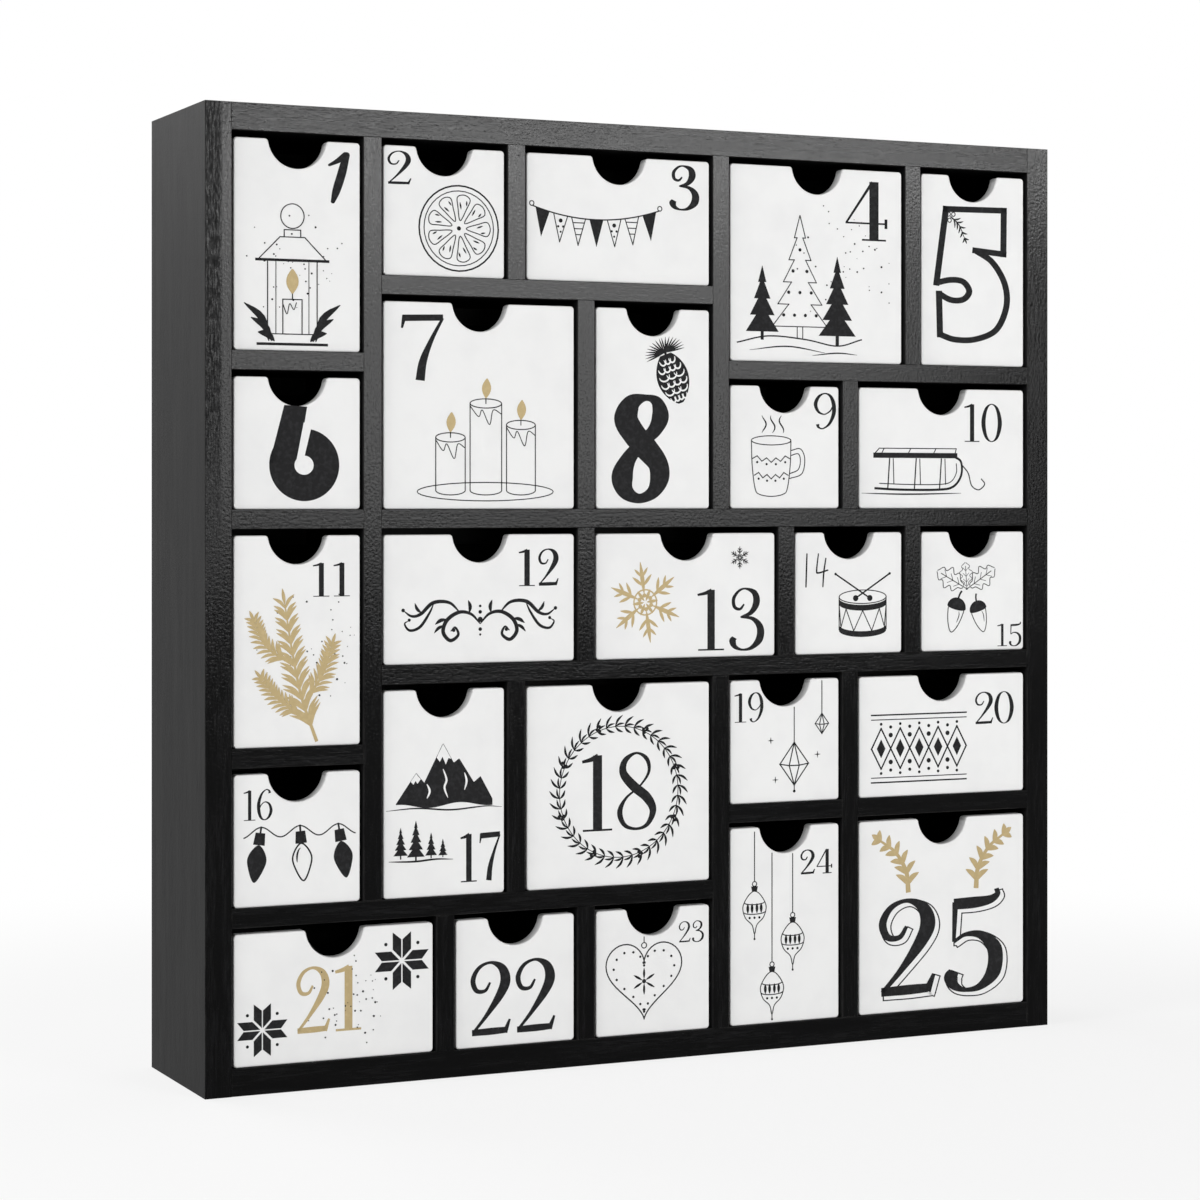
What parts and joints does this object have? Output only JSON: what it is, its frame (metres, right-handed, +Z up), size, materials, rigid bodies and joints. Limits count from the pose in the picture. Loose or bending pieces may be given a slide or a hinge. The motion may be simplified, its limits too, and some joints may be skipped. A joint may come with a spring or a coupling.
{
  "type": "wooden advent calendar",
  "caption": "Square standing wooden case, divided by a lattice of shelves and uprights into compartments of mixed sizes, each with a loose numbered drawer pulled by a finger notch.",
  "frame": {"origin": "middle of the underside of the case, on the surface that it stands on", "axes": "+Z up, +X to the viewer's right, +Y from the drawer fronts to the back panel"},
  "size_m": [0.32, 0.06, 0.32],
  "materials": {
    "black_painted_wood": "satin black paint over wood, faint grain",
    "white_painted_wood": "satin white paint with a printed face",
    "black_tray_board": "matt black stain on thin board"
  },
  "bodies": {
    "case": {"left_side": "black_painted_wood", "right_side": "black_painted_wood", "bottom_board": "black_painted_wood", "top_board": "black_painted_wood", "back_panel": "black_painted_wood", "middle_shelf": "black_painted_wood", "long_upright": "black_painted_wood", "short_shelves": "black_painted_wood", "upper_uprights": "black_painted_wood", "lower_uprights": "black_painted_wood"},
    "drawer_01": {"drawer_01_front": "white_painted_wood", "drawer_01_tray": "black_tray_board"},
    "drawer_02": {"drawer_02_front": "white_painted_wood", "drawer_02_tray": "black_tray_board"},
    "drawer_03": {"drawer_03_front": "white_painted_wood", "drawer_03_tray": "black_tray_board"},
    "drawer_04": {"drawer_04_front": "white_painted_wood", "drawer_04_tray": "black_tray_board"},
    "drawer_05": {"drawer_05_front": "white_painted_wood", "drawer_05_tray": "black_tray_board"},
    "drawer_06": {"drawer_06_front": "white_painted_wood", "drawer_06_tray": "black_tray_board"},
    "drawer_07": {"drawer_07_front": "white_painted_wood", "drawer_07_tray": "black_tray_board"},
    "drawer_08": {"drawer_08_front": "white_painted_wood", "drawer_08_tray": "black_tray_board"},
    "drawer_09": {"drawer_09_front": "white_painted_wood", "drawer_09_tray": "black_tray_board"},
    "drawer_10": {"drawer_10_front": "white_painted_wood", "drawer_10_tray": "black_tray_board"},
    "drawer_11": {"drawer_11_front": "white_painted_wood", "drawer_11_tray": "black_tray_board"},
    "drawer_12": {"drawer_12_front": "white_painted_wood", "drawer_12_tray": "black_tray_board"},
    "drawer_13": {"drawer_13_front": "white_painted_wood", "drawer_13_tray": "black_tray_board"},
    "drawer_14": {"drawer_14_front": "white_painted_wood", "drawer_14_tray": "black_tray_board"},
    "drawer_15": {"drawer_15_front": "white_painted_wood", "drawer_15_tray": "black_tray_board"},
    "drawer_16": {"drawer_16_front": "white_painted_wood", "drawer_16_tray": "black_tray_board"},
    "drawer_17": {"drawer_17_front": "white_painted_wood", "drawer_17_tray": "black_tray_board"},
    "drawer_18": {"drawer_18_front": "white_painted_wood", "drawer_18_tray": "black_tray_board"},
    "drawer_19": {"drawer_19_front": "white_painted_wood", "drawer_19_tray": "black_tray_board"},
    "drawer_20": {"drawer_20_front": "white_painted_wood", "drawer_20_tray": "black_tray_board"},
    "drawer_21": {"drawer_21_front": "white_painted_wood", "drawer_21_tray": "black_tray_board"},
    "drawer_22": {"drawer_22_front": "white_painted_wood", "drawer_22_tray": "black_tray_board"},
    "drawer_23": {"drawer_23_front": "white_painted_wood", "drawer_23_tray": "black_tray_board"},
    "drawer_24": {"drawer_24_front": "white_painted_wood", "drawer_24_tray": "black_tray_board"},
    "drawer_25": {"drawer_25_front": "white_painted_wood", "drawer_25_tray": "black_tray_board"}
  },
  "joints": [
    {"name": "drawer_01_slide", "type": "slide", "parent": "case", "child": "drawer_01", "axis": [0, -1, 0], "range_m": [0, 0.058]},
    {"name": "drawer_02_slide", "type": "slide", "parent": "case", "child": "drawer_02", "axis": [0, -1, 0], "range_m": [0, 0.058]},
    {"name": "drawer_03_slide", "type": "slide", "parent": "case", "child": "drawer_03", "axis": [0, -1, 0], "range_m": [0, 0.058]},
    {"name": "drawer_04_slide", "type": "slide", "parent": "case", "child": "drawer_04", "axis": [0, -1, 0], "range_m": [0, 0.058]},
    {"name": "drawer_05_slide", "type": "slide", "parent": "case", "child": "drawer_05", "axis": [0, -1, 0], "range_m": [0, 0.058]},
    {"name": "drawer_06_slide", "type": "slide", "parent": "case", "child": "drawer_06", "axis": [0, -1, 0], "range_m": [0, 0.058]},
    {"name": "drawer_07_slide", "type": "slide", "parent": "case", "child": "drawer_07", "axis": [0, -1, 0], "range_m": [0, 0.058]},
    {"name": "drawer_08_slide", "type": "slide", "parent": "case", "child": "drawer_08", "axis": [0, -1, 0], "range_m": [0, 0.058]},
    {"name": "drawer_09_slide", "type": "slide", "parent": "case", "child": "drawer_09", "axis": [0, -1, 0], "range_m": [0, 0.058]},
    {"name": "drawer_10_slide", "type": "slide", "parent": "case", "child": "drawer_10", "axis": [0, -1, 0], "range_m": [0, 0.058]},
    {"name": "drawer_11_slide", "type": "slide", "parent": "case", "child": "drawer_11", "axis": [0, -1, 0], "range_m": [0, 0.058]},
    {"name": "drawer_12_slide", "type": "slide", "parent": "case", "child": "drawer_12", "axis": [0, -1, 0], "range_m": [0, 0.058]},
    {"name": "drawer_13_slide", "type": "slide", "parent": "case", "child": "drawer_13", "axis": [0, -1, 0], "range_m": [0, 0.058]},
    {"name": "drawer_14_slide", "type": "slide", "parent": "case", "child": "drawer_14", "axis": [0, -1, 0], "range_m": [0, 0.058]},
    {"name": "drawer_15_slide", "type": "slide", "parent": "case", "child": "drawer_15", "axis": [0, -1, 0], "range_m": [0, 0.058]},
    {"name": "drawer_16_slide", "type": "slide", "parent": "case", "child": "drawer_16", "axis": [0, -1, 0], "range_m": [0, 0.058]},
    {"name": "drawer_17_slide", "type": "slide", "parent": "case", "child": "drawer_17", "axis": [0, -1, 0], "range_m": [0, 0.058]},
    {"name": "drawer_18_slide", "type": "slide", "parent": "case", "child": "drawer_18", "axis": [0, -1, 0], "range_m": [0, 0.058]},
    {"name": "drawer_19_slide", "type": "slide", "parent": "case", "child": "drawer_19", "axis": [0, -1, 0], "range_m": [0, 0.058]},
    {"name": "drawer_20_slide", "type": "slide", "parent": "case", "child": "drawer_20", "axis": [0, -1, 0], "range_m": [0, 0.058]},
    {"name": "drawer_21_slide", "type": "slide", "parent": "case", "child": "drawer_21", "axis": [0, -1, 0], "range_m": [0, 0.058]},
    {"name": "drawer_22_slide", "type": "slide", "parent": "case", "child": "drawer_22", "axis": [0, -1, 0], "range_m": [0, 0.058]},
    {"name": "drawer_23_slide", "type": "slide", "parent": "case", "child": "drawer_23", "axis": [0, -1, 0], "range_m": [0, 0.058]},
    {"name": "drawer_24_slide", "type": "slide", "parent": "case", "child": "drawer_24", "axis": [0, -1, 0], "range_m": [0, 0.058]},
    {"name": "drawer_25_slide", "type": "slide", "parent": "case", "child": "drawer_25", "axis": [0, -1, 0], "range_m": [0, 0.058]}
  ]
}
